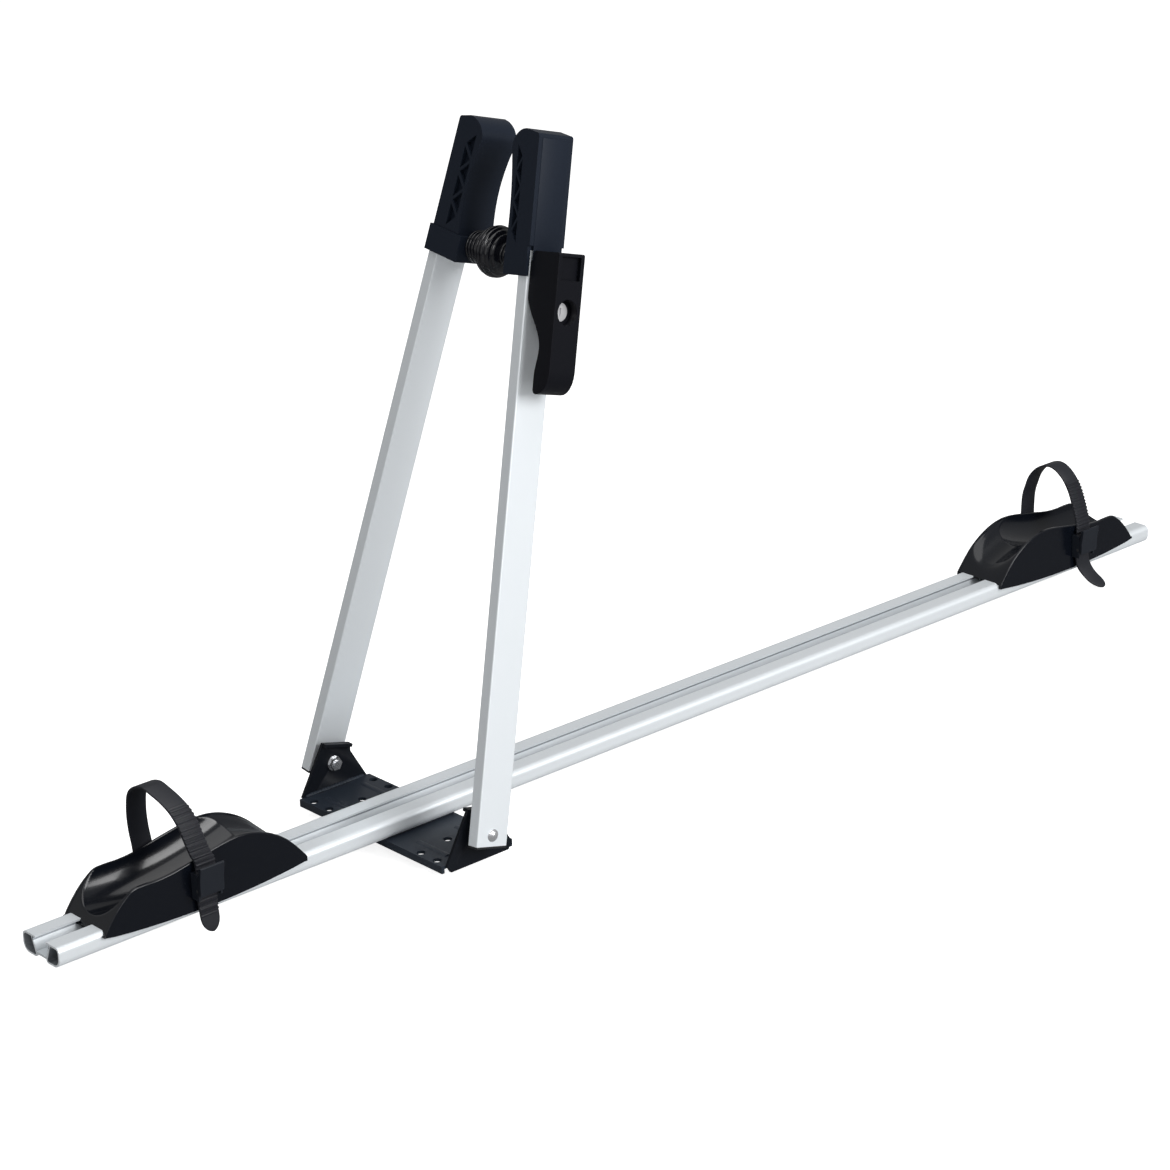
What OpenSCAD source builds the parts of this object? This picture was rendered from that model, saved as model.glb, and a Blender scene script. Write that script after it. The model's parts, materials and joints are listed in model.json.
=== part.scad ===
// Upright bike carrier for a car roof: a twin-lobed rail with two wheel trays, and an A-frame of
// two arms with jaws that close on the bike's down tube. Millimetres. X runs along the rail,
// Y across it, Z up. The origin is the centre of the base plate's underside, where the roof bar sits.

/* [Rail] */
// Length of the rail
rail_length = 1400; // [1200:10:1600]
// Distance from the base plate's centre to the rail's front end
rail_front = 386; // [360:1:440]
// Overall width of the rail
rail_w = 53; // [52:0.5:56]
// Overall height of the rail
rail_h = 19; // [18:0.5:22]
// Wall of the rail's hollow lobes
rail_wall = 1.8; // [1.4:0.1:2.2]
// Width of the rail's channel right below its lips
channel_w = 24; // [20:0.5:24]
// Width of the slot between the channel's lips
slot_w = 16; // [15:0.5:17]
// Thickness of each lip
lip_t = 1.6; // [1.4:0.1:2.5]
// Height of the channel's floor above the rail's underside
floor_lift = 3; // [2:0.5:4]
// Thickness of the channel's floor
floor_t = 2.2; // [1.8:0.1:3]

/* [Base bracket] */
// Size of the base plate along the rail
plate_x = 81; // [78:1:100]
// Size of the base plate across the rail
plate_y = 200; // [194:1:230]
// Thickness of the base plate
plate_t = 3; // [2.5:0.5:4]
// Depth of the plate's turned-down lips
plate_lip = 7; // [5:0.5:10]
// Diameter of the clamp holes
hole_d = 8; // [6:0.5:9]
// Hole spacing along the rail
hole_dx = 69; // [60:1:70]
// Hole spacing across the rail, inner holes
hole_dy_in = 129; // [120:1:135]
// Hole spacing across the rail, outer holes
hole_dy_out = 173; // [165:1:178]
// Spacing of the two middle holes across the rail
hole_dy_mid = 120; // [110:1:130]
// Thickness of the ears
ear_t = 3; // [2.5:0.5:4]
// Height of the ears above the arms' pivots
ear_top = 18.5; // [16:0.5:22]
// Width of an ear at its top
ear_top_w = 32; // [28:1:36]
// Diameter of the countersunk bolts that hold the rail
rail_bolt_d = 5; // [4:0.5:6]
// Spacing of the bolts that hold the rail
rail_bolt_dx = 56; // [52:1:60]

/* [Arms] */
// Distance of each arm's pivot from the rail's middle plane
pivot_y = 116; // [115:0.5:125]
// Height of the arms' pivots above the base plate's underside
pivot_z = 26.7; // [25:0.1:32]
// Lean of the A-frame along the rail, in degrees
lean = 15.2; // [5:0.1:25]
// Inward tilt of each arm, in degrees
tilt = 6.8; // [6:0.1:7.5]
// Width of an arm, along the rail
arm_w = 35; // [34:0.5:38]
// Thickness of an arm, across the rail
arm_t = 12; // [11:0.5:13]
// Wall of the arm's tube
arm_wall = 1.6; // [1.2:0.1:2]
// Corner radius of the arm's tube
arm_r = 1.2; // [0.8:0.1:1.8]
// How far an arm reaches below its pivot
arm_foot = 10.3; // [10:0.1:14]
// Thickness of the end cap below an arm
cap_t = 2; // [1.5:0.5:3]
// Diameter of the pivot bolts
pivot_d = 8; // [7:0.5:8]

/* [Jaws] */
// Distance along the arm from the pivot to the jaw's sleeve
jaw_start = 482.6; // [450:0.1:520]
// Height of a jaw along the arm
jaw_h = 124.5; // [115:0.5:140]
// Width of a jaw along the rail
jaw_w = 40; // [39:0.5:44]
// Height of a jaw's collar
collar_h = 23; // [21:0.5:28]
// Wall of the jaw's collar round the arm
collar_wall = 2.5; // [2:0.1:3]
// Depth of the far jaw's pad, inward from its arm's middle
reach_far = 26; // [24:0.5:30]
// Depth of the far jaw's collar, inward from its arm's middle
foot_far = 34; // [30:0.5:36]
// Depth of the near jaw's pad, inward from its arm's middle
reach_near = 21; // [18:0.5:24]
// Depth of the near jaw's collar, inward from its arm's middle
foot_near = 22; // [20:0.5:25]
// Opening travel of the near arm, in degrees
arm_open = 3; // [2:0.5:3]

/* [Clamp] */
// Diameter of the threaded clamp rod
rod_d = 8; // [7:0.5:8]
// Height of the lever's cross pin above the foot of the jaw's sleeve
cam_lift = 10.4; // [9:0.1:12]
// Distance of the cross pin outward from the arm's middle
cam_out = 24; // [23:0.5:26]
// Diameter of the cross pin
cam_d = 14; // [12:0.5:15]
// Length of the cross pin
cam_len = 26; // [22:0.5:28]
// Largest radius of the bellows
bellows_r = 23; // [18:0.5:25]
// Number of folds of the bellows
bellows_folds = 14; // [10:1:16]
// Wall of the bellows
bellows_wall = 1.4; // [1:0.1:1.8]
// Turns of the return spring
spring_turns = 6; // [5:1:8]
// Wire of the return spring
spring_wire = 1.6; // [1.2:0.1:2]

/* [Lever] */
// Width of the lever
lever_w = 30; // [28:0.5:34]
// Distance of the lever's outer face from the arm's middle
lever_out = 41; // [40:0.5:44]
// Reach of the lever above the cross pin
lever_up = 12; // [11:0.5:13]
// Reach of the lever below the cross pin
lever_down = 109; // [100:1:120]
// Distance of the lock below the cross pin
lock_down = 38; // [36:0.5:42]
// Diameter of the lock cylinder
lock_d = 16; // [14:0.5:17]

/* [Wheel trays] */
// Length of a tray
tray_len = 212; // [200:1:225]
// Width of a tray at its skirt
tray_w = 60.5; // [59:0.5:64]
// Width of a tray at its ridges
tray_top_w = 59; // [57:0.5:60]
// Height of a tray's ridges above the rail
tray_h = 41.5; // [38:0.5:44]
// Depth of a tray's skirts below the rail's top
skirt = 11.5; // [9:0.5:14]
// Wall of a tray
tray_wall = 2.6; // [2.2:0.1:2.8]
// Outer radius of the wheel that the scoop is cut for
wheel_r = 340; // [300:5:370]
// Radius of the scoop's section
scoop_r = 27; // [24:0.5:27]
// Height of the scoop's lowest point above the rail
scoop_floor = 3; // [2.5:0.5:6]
// Distance from the rail's front end to the front tray's pointed end
front_tray_back = 254; // [245:1:270]
// Distance from the rail's rear end to the rear tray's pointed end
rear_tray_back = 243; // [240:1:300]
// Diameter of the bolts that clamp the trays
tray_bolt_d = 6; // [5:0.5:6]

/* [Straps] */
// Width of a strap
strap_w = 20; // [18:0.5:25]
// Thickness of a strap
strap_t = 2.2; // [1.8:0.1:2.6]
// Place of the strap along a tray, from the pointed end
strap_at = 118; // [110:1:125]
// Height of the strap's loop above the rail
loop_h = 97; // [90:1:105]
// Width of a buckle
buckle_w = 24.6; // [24.6:0.1:30]
// Height of a buckle
buckle_h = 32; // [30:0.5:38]
// Depth of a buckle, outward
buckle_t = 13.2; // [13:0.1:15]

/* [Hidden] */
$fn = 48;
// Distance along the arm from the pivot to the cross pin
cam_at = jaw_start + cam_lift;
// Places of the trays' pointed ends along the rail
front_tray_at = front_tray_back - rail_front;
rear_tray_at = rail_length - rail_front - rear_tray_back;

// Small overlap that lets a cut pass cleanly through a face
eps = 0.5;
// Clearance of a moving fit, and of a shaft in its bore
run_gap = 0.3;
bore_gap = 0.1;
// Clearance at the near arm's foot, which rocks as the jaws open
rock_gap = 0.45;

// Rail
rail_base = plate_t;
rail_top = rail_base + rail_h;
// Corner circles of a lobe, as [radius, centre out from the middle, centre above the underside]:
// inner top, shoulder, the full round of the side, and the foot of the channel's sloping wall
channel_foot = 13.4;
lobe_corners = [[2.2, channel_w / 2 + 2.2, rail_h - 2.2], [5, rail_w / 2 - 5, rail_h - 5],
  [8.5, rail_w / 2 - 8.5, 8.5], [3, channel_foot / 2 + 3, 3]];

// Nuts: width across corners and height, as shares of the bolt's diameter
head_wide = 1.85;
nut_high = 0.8;
thin_washer_t = 1;

// Ears and pivots
ear_in = plate_y / 2;
ear_out = ear_in + ear_t;
ear_mid = ear_in + ear_t / 2;
ear_low = -(plate_lip - plate_t);
spacer_r = 8;

// Arms: length from the foot to the top end inside the jaw
arm_top = jaw_start + collar_h - 1;
jaw_top = jaw_start + jaw_h;
jaw_gap = 0.2;

// Cross pin in the plane of the A-frame, seen along the rail, from the pivots' line
cam_y = -pivot_y + cam_at * sin(tilt) - cam_out * cos(tilt);
cam_z = cam_at * cos(tilt) + cam_out * sin(tilt);
// The rod falls towards the far arm by half the change of angle that the opening near arm makes
rod_drop = atan((cam_y + ear_mid) / cam_z) - arm_open / 2;
rod_tail = 12;
rod_far_y = pivot_y - cam_at * sin(tilt) + cam_out / 4;
rod_len = (rod_far_y - cam_y) / cos(rod_drop);
// Where the rod crosses the jaws' inner faces, measured from the cross pin
near_face = (foot_near + cam_out) / cos(tilt - rod_drop);
far_face = (pivot_y - cam_at * sin(tilt) - foot_far * cos(tilt) - cam_y) / cos(rod_drop);
bellows_gap = 0.3;
neck_r = 12;
spring_r = 6.2;
hole_wide = rod_d / 2 + 1.7;

// Tray sides
side_lean = (tray_w - tray_top_w) / 2 / (tray_h + skirt);
strap_gap = 0.4;
anchor_z = 12;
buckle_z = 17;
pin_d = 3;
rivet_d = 5;

// Moves its children from arm coordinates to the model: X along the rail, Y inward from the
// arm's middle, Z along the arm from the pivot. side is 1 for the far arm and -1 for the near one.
module on_arm(side)
  translate([0, side * pivot_y, pivot_z]) rotate([0, lean, 0]) rotate([side * tilt, 0, 0])
    mirror([0, side > 0 ? 1 : 0, 0]) children();

// Moves its children so that Z runs along the clamp rod, from the cross pin to the far jaw
module on_rod(extra = 0)
  translate([0, 0, pivot_z]) rotate([0, lean, 0]) translate([0, cam_y, cam_z])
    rotate([-(90 + rod_drop + extra), 0, 0]) children();

// Moves its children to a tray: X from the pointed end to the low end, Z from the rail's top
module on_tray(front)
  translate([front ? front_tray_at : rear_tray_at, 0, rail_top])
    mirror([front ? 1 : 0, 0, 0]) children();

// Rectangle w by h with round corners, centred
module round_rect(w, h, r) {
  square([w - 2 * r, h], center = true);
  square([w, h - 2 * r], center = true);
  for (x = [-1, 1], y = [-1, 1]) translate([x * (w / 2 - r), y * (h / 2 - r)]) circle(r);
}

// A rod of length len along Y, from y
module along_y(y, len, r) translate([0, y, 0]) rotate([-90, 0, 0]) cylinder(h = len, r = r);

// Outline of one lobe of the rail, with its underside at 0, drawn in by inset
module lobe_outline(inset = 0) hull() for (c = lobe_corners) translate([c[1], c[2]]) circle(c[0] - inset);

// Cross-section of the rail, with its underside at 0
module rail_section() {
  for (s = [0, 1]) mirror([s, 0]) {
    difference() {
      lobe_outline();
      lobe_outline(rail_wall);
    }
    translate([slot_w / 2, rail_h - lip_t]) square([channel_w / 2 + 2.2 - slot_w / 2, lip_t]);
  }
  translate([-channel_foot / 2 - 1, floor_lift]) square([channel_foot + 2, floor_t]);
}

module rail() color("silver") difference() {
  translate([-rail_front, 0, rail_base]) rotate([90, 0, 90])
    linear_extrude(rail_length) rail_section();
  for (x = [-1, 1]) translate([x * rail_bolt_dx / 2, 0, rail_base])
    cylinder(h = floor_lift + floor_t + eps, d = rail_bolt_d + run_gap);
}

module plate_holes() {
  for (x = [-1, 1], y = [-1, 1], dy = [hole_dy_in, hole_dy_out])
    translate([x * hole_dx / 2, y * dy / 2, -eps]) cylinder(h = plate_t + 2 * eps, d = hole_d);
  for (y = [-1, 1]) translate([0, y * hole_dy_mid / 2, -eps])
    cylinder(h = plate_t + 2 * eps, d = hole_d);
  for (x = [-1, 1]) translate([x * rail_bolt_dx / 2, 0, 0]) {
    translate([0, 0, -eps]) cylinder(h = plate_t + 2 * eps, d = rail_bolt_d + run_gap);
    sunk_head(bore_gap);
  }
}

// Conical head of a rail bolt, flush with the plate's underside, grown by gap
module sunk_head(gap = 0) translate([0, 0, gap > 0 ? -gap : bore_gap])
  cylinder(h = rail_bolt_d / 2 + gap, r1 = rail_bolt_d + 2 * gap, r2 = rail_bolt_d / 2 + gap);

// A shallow rib pressed up from the plate, round in section, with its back left flat
module pressed_rib(x, side) {
  rib_r = 7;
  rib_high = 1.1;
  rib_len = 40;
  rib_from = 46;
  intersection() {
    translate([x, side * (rib_from + rib_len / 2), plate_t - rib_r + rib_high]) rotate([90, 0, 0])
      cylinder(h = rib_len, r = rib_r, center = true);
    translate([x - rib_r, -plate_y, plate_t / 2]) cube([2 * rib_r, 2 * plate_y, plate_t]);
  }
}

module base_plate() color("black") difference() {
  union() {
    translate([-plate_x / 2, -plate_y / 2, 0]) cube([plate_x, plate_y, plate_t]);
    for (x = [0, 1]) mirror([x, 0, 0])
      translate([plate_x / 2 - plate_t, -plate_y / 2, plate_t - plate_lip])
        cube([plate_t, plate_y, plate_lip]);
    for (x = [-1, 1], y = [-1, 1]) pressed_rib(x * 22, y);
  }
  plate_holes();
}

// Outline of an ear in X and Z, from the pivot: its top edge is square to the leaning arm
function ear_outline() = let (
    c = cos(lean), s = sin(lean), h = ear_top_w / 2,
    top_front = [-h * c + ear_top * s, h * s + ear_top * c],
    top_rear = [h * c + ear_top * s, -h * s + ear_top * c],
    low = ear_low - pivot_z
  ) [top_front, top_rear, [top_rear[0], top_rear[1] - 8], [plate_x / 2 - 3, plate_t - pivot_z],
     [plate_x / 2 - 7, low], [-plate_x / 2 + 8, low], [-plate_x / 2 + 4, plate_t - pivot_z]];

module ear(side) color("black") {
  flange = 4;
  weld = 3;
  translate([0, 0, pivot_z]) {
    difference() {
      union() {
        translate([0, side > 0 ? ear_out : -ear_in, 0]) rotate([90, 0, 0])
          linear_extrude(ear_t) polygon(ear_outline());
        rotate([0, lean, 0]) translate([-ear_top_w / 2, side > 0 ? ear_in - flange : -ear_in - eps,
          ear_top - ear_t]) cube([ear_top_w, flange + eps, ear_t]);
      }
      translate([0, side * ear_mid, 0]) rotate([90, 0, 0])
        cylinder(h = ear_t + 2 * eps, d = pivot_d + 2 * bore_gap, center = true);
    }
    // Weld along the inside of the ear, on the plate
    translate([-plate_x / 4, side * ear_in, plate_t - pivot_z]) rotate([0, 90, 0])
      linear_extrude(plate_x / 2) polygon([[0, 0], [-weld, 0], [0, -side * weld]]);
  }
}

module hex_nut(d, bore) difference() {
  cylinder(h = d * nut_high, d = d * head_wide, $fn = 6);
  translate([0, 0, -eps]) cylinder(h = d * nut_high + 2 * eps, d = bore);
}

// Top of the channel's floor, and how far the bolts' ends stand above it
floor_top = rail_base + floor_lift + floor_t;
bolt_end = 6;

module rail_bolts() color("gainsboro") for (x = [-1, 1])
  translate([x * rail_bolt_dx / 2, 0, 0]) {
    sunk_head();
    translate([0, 0, 1]) cylinder(h = floor_top + bolt_end - 1, d = rail_bolt_d);
  }

module rail_washers() color("gainsboro") for (x = [-1, 1])
  translate([x * rail_bolt_dx / 2, 0, rail_base]) difference() {
    cylinder(h = floor_lift, d = 2 * rail_bolt_d);
    translate([0, 0, -eps]) cylinder(h = floor_lift + 2 * eps, d = rail_bolt_d + run_gap);
  }

module rail_nuts() color("gainsboro") for (x = [-1, 1])
  translate([x * rail_bolt_dx / 2, 0, floor_top]) hex_nut(rail_bolt_d, rail_bolt_d);

// The bolt's hole through an arm and its cap runs across the rail, whatever the arm's tilt
module pivot_hole(side) translate([0, side * pivot_y, pivot_z]) rotate([90, 0, 0])
  cylinder(h = 2 * arm_t, d = pivot_d + 2 * bore_gap, center = true);

// The near arm rocks on its pivot as the jaws open, so the rod's hole there is wide
module rod_hole(side) {
  if (side > 0) on_rod() translate([0, 0, -eps]) cylinder(h = rod_len + 20, d = rod_d + 2 * run_gap);
  else on_rod(arm_open / 2) translate([0, 0, -cam_out]) cylinder(h = 3 * cam_out, r = hole_wide);
}

module arm(side) color("silver") difference() {
  on_arm(side) translate([0, 0, -arm_foot]) linear_extrude(arm_foot + arm_top) difference() {
    round_rect(arm_w, arm_t, arm_r);
    square([arm_w - 2 * arm_wall, arm_t - 2 * arm_wall], center = true);
  }
  pivot_hole(side);
  rod_hole(side);
}

module arm_cap(side) color("black") on_arm(side) {
  plug = 4;
  translate([0, 0, -arm_foot - cap_t]) linear_extrude(cap_t) round_rect(arm_w, arm_t, arm_r);
  translate([0, 0, -arm_foot - eps]) linear_extrude(plug + eps)
    square([arm_w - 2 * arm_wall - jaw_gap, arm_t - 2 * arm_wall - jaw_gap], center = true);
}

// Ring between the ear and the arm, cut to the arm's slant where it meets the arm
module spacer(side) color("dimgray") difference() {
  translate([0, 0, pivot_z]) mirror([0, side > 0 ? 0 : 1, 0])
    along_y(ear_out + rock_gap, pivot_y - ear_out, spacer_r);
  on_arm(side) translate([-arm_w, -3 * arm_t, -arm_w]) cube([2 * arm_w, 3.5 * arm_t, 2 * arm_w]);
  pivot_hole(side);
  translate([0, side * ear_out, pivot_z]) rotate([90, 0, 0])
    cylinder(h = arm_t, d = pivot_d + 2 * bore_gap, center = true);
}

// Domed bolt across the rail, its head outside the arm and its shank through the ear
module pivot_bolt(side) color("gainsboro") {
  head_r = 6;
  out = pivot_y + arm_t / 2;
  translate([0, 0, pivot_z]) mirror([0, side > 0 ? 0 : 1, 0])
    along_y(ear_in - 7, out - ear_in + 9, pivot_d / 2);
  difference() {
    intersection() {
      translate([0, side * (out - 4), pivot_z]) sphere(r = head_r + 1.4);
      translate([0, 0, pivot_z]) mirror([0, side > 0 ? 0 : 1, 0]) along_y(out - 2, 8, head_r);
    }
    on_arm(side) translate([-arm_w, -arm_t / 2, -arm_w]) cube([2 * arm_w, 3 * arm_t, 2 * arm_w]);
  }
}

module pivot_nut(side) color("gainsboro")
  translate([0, side * (ear_in - (side > 0 ? bore_gap : rock_gap)), pivot_z])
    rotate([side * 90, 0, 0]) {
      difference() {
        cylinder(h = thin_washer_t, d = 1.75 * pivot_d);
        translate([0, 0, -eps]) cylinder(h = thin_washer_t + 2 * eps, d = pivot_d);
      }
      translate([0, 0, thin_washer_t]) scale([1, 1, 0.8]) hex_nut(0.85 * pivot_d, pivot_d);
    }

// Side outline of a jaw: X is inward from the arm's middle and Y is along the arm. The pad is
// hollowed towards its middle, stands out as a nose near its top and runs over in a dome.
function jaw_outline(reach, foot, outer) = let (
    from = jaw_start + collar_h, nose = 3, nose_h = 17, crown = 8, corner = 3,
    hollow = foot > reach_far ? 4.5 : 1.5, nose_at = jaw_top - nose_h
  ) concat(
    [[-outer, jaw_start], [foot, jaw_start], [foot, from - 4]],
    [for (k = [0:12]) let (t = k / 12)
      [reach - hollow * sin(180 * t) + 0.4 * (foot - reach) * pow(1 - t, 2) + nose * t * t,
       from + t * (nose_at - from)]],
    [for (a = [15:15:90]) [crown + (reach + nose - crown) * cos(a), nose_at + nose_h * sin(a)]],
    [for (a = [90:15:180]) [corner - outer + corner * cos(a), jaw_top - 6 + corner * sin(a)]]);

// Triangular recesses in a zigzag of ribs along the pad's edge, on one face of the jaw
module truss(reach) {
  cells = 6;
  low = jaw_start + collar_h + 1;
  step = (jaw_h - collar_h - 12) / (cells + 1);
  edge = [9, reach - 4];
  // Corner k of the zigzag, on the outer edge when k is even
  function corner(k) = [edge[k % 2], low + k * step];
  for (k = [0:cells - 1]) {
    mid = (corner(k) + corner(k + 1) + corner(k + 2)) / 3;
    polygon([for (j = [0:2]) mid + 0.78 * (corner(k + j) - mid)]);
  }
}

module jaw(side) {
  reach = side > 0 ? reach_far : reach_near;
  foot = side > 0 ? foot_far : foot_near;
  outer = side > 0 ? arm_t / 2 - 0.5 : arm_t / 2 + collar_wall;
  wall_out = arm_t / 2 + collar_wall;
  proud = side > 0 ? 1.2 : 0;
  recess = 4.5;
  notch = collar_h + 3;
  color("black") difference() {
    on_arm(side) difference() {
      union() {
        translate([-jaw_w / 2, 0, 0]) rotate([90, 0, 90]) linear_extrude(jaw_w)
          polygon(jaw_outline(reach, foot, outer));
        translate([-jaw_w / 2 - proud, -wall_out, jaw_start])
          cube([jaw_w + 2 * proud, wall_out + foot, collar_h]);
      }
      translate([0, 0, jaw_start - eps]) linear_extrude(arm_top - jaw_start + eps + jaw_gap)
        round_rect(arm_w + 2 * jaw_gap, arm_t + 2 * jaw_gap, arm_r + jaw_gap);
      for (s = [0, 1]) mirror([s, 0, 0]) translate([jaw_w / 2 - recess, 0, 0]) rotate([90, 0, 90])
        linear_extrude(recess + eps) truss(reach);
      if (side < 0) translate([-jaw_w, -2 * wall_out, jaw_start - eps])
        cube([2 * jaw_w, 2 * wall_out - arm_t / 2 - jaw_gap, notch + eps]);
    }
    rod_hole(side);
    if (side > 0) on_rod() translate([0, 0, far_face + 10]) nut_pocket(run_gap);
  }
}

// Square nut that the rod screws into, held in a pocket of the far jaw
module nut_pocket(gap) cube([13 + 2 * gap, 13 + 2 * gap, 6.5 + 2 * gap], center = true);

module rod_nut() color("gainsboro") on_rod() translate([0, 0, far_face + 10]) difference() {
  nut_pocket(0);
  cylinder(h = 2 * rod_d, d = rod_d + 2 * bore_gap, center = true);
}

module clamp_rod() color("gainsboro") on_rod() translate([0, 0, -rod_tail])
  cylinder(h = rod_tail + rod_len, d = rod_d);

// Envelope of the bellows from the near end, t = 0, to the far end, t = 1: a neck, a ball in the
// middle and a wider corrugated sleeve at the far end
function swell(t) = abs(t) < 1 ? pow(cos(90 * t), 0.7) : 0;
function bellows_env(t) = neck_r + (bellows_r - neck_r) * swell((t - 0.52) / 0.24)
  + (t > 0.72 ? 3 * swell((t - 0.88) / 0.2) : 0);
function bellows_edge(t) = bellows_env(t) - (1 + cos(360 * bellows_folds * t));

module bellows() {
  n = 8 * bellows_folds;
  from = near_face;
  span = far_face - near_face;
  over = 3;
  wall = bellows_wall;
  color("black") difference() {
    on_rod() rotate_extrude() polygon(concat(
      [[bellows_edge(0), from - over]],
      [for (k = [0:n]) [bellows_edge(k / n), from + span * k / n]],
      [[bellows_edge(1), from + span + over]],
      [[bellows_edge(1) - wall, from + span + over]],
      [for (k = [n:-1:0]) [bellows_edge(k / n) - wall, from + span * k / n]],
      [[bellows_edge(0) - wall, from - over]]));
    on_arm(1) translate([-jaw_w, foot_far - jaw_w, jaw_start - jaw_w])
      cube([2 * jaw_w, jaw_w, 3 * jaw_w]);
    on_arm(-1) translate([-jaw_w, foot_near + bellows_gap - jaw_w, jaw_start - jaw_w])
      cube([2 * jaw_w, jaw_w, 3 * jaw_w]);
  }
}

// Tube of n sides round the points of a path
function unit(v) = v / norm(v);
module tube(path, r, n) {
  last = len(path) - 1;
  rings = [for (k = [0:last]) let (
      d = unit(path[min(k + 1, last)] - path[max(k - 1, 0)]),
      a = unit(cross(d, [0, 0, 1])), b = cross(a, d))
    [for (j = [0:n - 1]) path[k] + r * (a * cos(360 * j / n) + b * sin(360 * j / n))]];
  skin(rings);
}

// Closed solid through rings that have the same number of points each
module skin(rings) {
  n = len(rings[0]);
  last = len(rings) - 1;
  polyhedron([for (ring = rings) each ring], concat(
    [for (k = [0:last - 1], j = [0:n - 1]) each let (
        a = k * n + j, b = k * n + (j + 1) % n, c = a + n, d = b + n) [[a, b, d], [a, d, c]]],
    [[for (j = [n - 1:-1:0]) j]], [[for (j = [0:n - 1]) last * n + j]]));
}

module return_spring() color("gray") on_rod() {
  from = near_face + 1.8;
  span = far_face - near_face - 4;
  steps = 14;
  tube([for (k = [0:spring_turns * steps]) let (a = 360 * k / steps)
    [spring_r * cos(a), spring_r * sin(a), from + span * k / (spring_turns * steps)]],
    spring_wire / 2, 6);
}

// Side outline of the lever: X is inward and Y along the arm, so the outer face is at negative X.
// The head turns about the cross pin inside a nose that clears the arm, and below it the inner
// edge draws back to leave room for fingers.
function lever_outline() = let (
    nose_r = cam_out - arm_t / 2 - 0.4, face = nose_r - cam_out, top = cam_at + lever_up,
    low = cam_at - lever_down, back = -25.5, heel = -22, flat_to = cam_at - 24, draw = 46, toe = 15
  ) concat(
    [for (a = [180:-30:90]) [-lever_out + 2 + 2 * cos(a), top - 2 + 2 * sin(a)]],
    [for (a = [asin(lever_up / nose_r):-8:0]) [-cam_out + nose_r * cos(a), cam_at + nose_r * sin(a)]],
    [for (k = [0:10]) let (t = k / 10)
      [face + (back - face) * (1 - cos(180 * t)) / 2, flat_to - draw * t]],
    [for (k = [1:5]) let (t = k / 5)
      [back + (heel - back) * (1 - cos(180 * t)) / 2, flat_to - draw - 24 * t]],
    [for (a = [0:-15:-90]) [heel - 4 + 4 * cos(a), low + 4 + 4 * sin(a)]],
    [for (a = [-90:-15:-180]) [-lever_out + toe + toe * cos(a), low + 1.4 * toe + 1.4 * toe * sin(a)]]);

lock_at = cam_at - lock_down;
lock_well_r = 11;
lock_well = 9;
tongue_r = 11;
tongue_t = 2.5;
tongue_in = -14;

module cam_lever() color("black") on_arm(-1) difference() {
  translate([-lever_w / 2, 0, 0]) rotate([90, 0, 90]) linear_extrude(lever_w)
    polygon(lever_outline());
  // Seat of the cross pin, and the slot in which the rod lies while the lever turns
  translate([0, -cam_out, cam_at]) rotate([0, 90, 0]) {
    cylinder(h = cam_len + 2 * run_gap, d = cam_d + 2 * bore_gap, center = true);
    cylinder(h = rod_d + 1.2, r = rod_tail + 1, center = true);
  }
  translate([-rod_d / 2 - 0.6, -cam_out - 9, cam_at - rod_d / 2 - 1])
    cube([rod_d + 1.2, cam_out + 9, lever_up + rod_d + eps]);
  // Window at the head, and the well of the lock
  translate([-11, -lever_out - eps, cam_at - 11]) cube([22, 4.5, 20]);
  translate([0, -lever_out - eps, lock_at]) rotate([-90, 0, 0])
    cylinder(h = lock_well + eps, r = lock_well_r);
  translate([0, -lever_out, lock_at]) rotate([-90, 0, 0])
    cylinder(h = lever_out, d = lock_d + 2 * bore_gap);
  translate([0, tongue_in - run_gap, lock_at]) rotate([-90, 0, 0])
    cylinder(h = -tongue_in, r = tongue_r + 1);
}

module cross_pin() color("dimgray") difference() {
  on_arm(-1) translate([0, -cam_out, cam_at]) rotate([0, 90, 0])
    cylinder(h = cam_len, d = cam_d, center = true);
  on_rod(arm_open / 2) cylinder(h = 2 * cam_d, d = rod_d + 0.9, center = true);
}

module lock_cylinder() color("silver") on_arm(-1)
  translate([0, -lever_out + lock_well, lock_at]) rotate([-90, 0, 0]) difference() {
    cylinder(h = lever_out - lock_well + tongue_in, d = lock_d);
    translate([-0.8, -3.5, -eps]) cube([1.6, 7, 5]);
  }

module lock_tongue() color("gray") on_arm(-1)
  translate([0, tongue_in, lock_at]) rotate([-90, 0, 0]) {
    cylinder(h = tongue_t, r = 5);
    translate([-3, -tongue_r + 1, 0]) cube([6, tongue_r - 1, tongue_t]);
  }

// Side outline of a tray: X from the pointed end, Y up from the rail's top
function tray_outline() = let (
    h = tray_h, l = tray_len, end_top = l - 32, drop = h * 0.29, ridge = 72
  ) concat(
    [for (k = [0:8]) let (t = k / 8) [ridge * t, h * sin(90 * pow(t, 0.85))]],
    [for (k = [1:8]) let (t = k / 8)
      [ridge + (end_top - ridge) * t, h - drop * (1 - cos(180 * pow(t, 0.85))) / 2]],
    [for (t = [0.2:0.2:1])
      [end_top + (l - 1 - end_top) * (sin(90 * t) + t) / 2, (h - drop) * (1 - t)]],
    [[l, -4]],
    [for (k = [0:8]) let (t = k / 8) [l - 10 - (l - 14) * t, -skirt * pow(sin(20 + 145 * t), 0.6)]]);

// The wheel that lies in the scoop, widened by grow, standing straight up above its axle's side
module scoop_wheel(grow = 0) {
  at = 165;
  centre = wheel_r - scoop_r;
  translate([at, 0, scoop_floor + wheel_r]) rotate([90, 0, 0]) rotate_extrude($fn = 180) {
    translate([centre, 0]) circle(scoop_r + grow);
    translate([centre - 40, -scoop_r - grow]) square([40, 2 * (scoop_r + grow)]);
  }
}

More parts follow.
